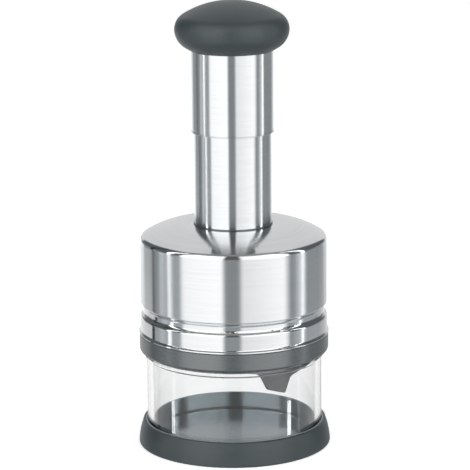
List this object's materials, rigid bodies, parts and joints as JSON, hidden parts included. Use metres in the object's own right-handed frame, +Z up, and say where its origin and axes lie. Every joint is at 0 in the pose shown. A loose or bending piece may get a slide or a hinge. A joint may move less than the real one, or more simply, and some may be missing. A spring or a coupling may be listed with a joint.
{
  "type": "plunger food chopper",
  "caption": "Hand food chopper: press the rubber palm knob and a zigzag blade drops through its scraper into a clear cup; steel housing, neck and sleeve; dark collar and base.",
  "frame": {"origin": "centre of the base's underside, on the table", "axes": "+Z up along the plunger's axis, -Y towards the front, +X to the viewer's right"},
  "size_m": [0.0954, 0.0954, 0.2215],
  "materials": {
    "rubber": "soft matte dark slate rubber",
    "dark_plastic": "smooth glossy dark grey",
    "clear_plastic": "clear, polished",
    "scraper_plastic": "satin dark grey",
    "inner_plastic": "satin light grey moulding",
    "brushed_steel": "fine round brushing",
    "plain_steel": "plain turned steel",
    "blade_steel": "bright rolled strip with a ground edge"
  },
  "bodies": {
    "base": {"base_foot": "rubber", "base_floor": "dark_plastic"},
    "cup": {"clear_cup": "clear_plastic"},
    "collar": {"collar_ring": "dark_plastic", "scraper_retainer": "dark_plastic"},
    "scraper": {"scraper_plate": "scraper_plastic"},
    "housing": {"housing_shell": "brushed_steel", "inner_liner": "inner_plastic", "neck_tube": "brushed_steel", "neck_glide_ring": "inner_plastic", "index_cam": "inner_plastic", "guide_bush": "inner_plastic"},
    "plunger": {"plunger_sleeve": "brushed_steel", "palm_knob": "rubber", "knob_core": "inner_plastic", "knob_screw": "plain_steel", "plunger_rod": "plain_steel", "return_spring": "plain_steel", "spring_washer": "plain_steel"},
    "blade": {"blade_hub": "scraper_plastic", "rotor_cam": "inner_plastic", "zigzag_blade": "blade_steel", "cam_screw_1": "plain_steel", "cam_screw_2": "plain_steel", "cam_screw_3": "plain_steel"}
  },
  "joints": [
    {"name": "cup_lift", "type": "slide", "parent": "base", "child": "cup", "axis": [0, 0, 1], "range_m": [0, 0.06]},
    {"name": "collar_lift", "type": "slide", "parent": "cup", "child": "collar", "axis": [0, 0, 1], "range_m": [0, 0.04]},
    {"name": "housing_lift", "type": "slide", "parent": "collar", "child": "housing", "axis": [0, 0, 1], "range_m": [0, 0.06]},
    {"name": "scraper_turn", "type": "hinge", "parent": "collar", "child": "scraper", "pos_m": [0, 0, 0.0506], "axis": [0, 0, 1], "continuous": true},
    {"name": "plunger_press", "type": "slide", "parent": "housing", "child": "plunger", "axis": [0, 0, -1], "range_m": [0, 0.045], "stiffness_N_per_m": 250, "springref_m": -0.04, "deforming": ["return_spring"]},
    {"name": "blade_turn", "type": "hinge", "parent": "plunger", "child": "blade", "pos_m": [0, 0, 0.1], "axis": [0, 0, 1], "continuous": true}
  ],
  "couplings": [
    {"joint": "scraper_turn", "follows": "blade_turn", "ratio": 1}
  ]
}
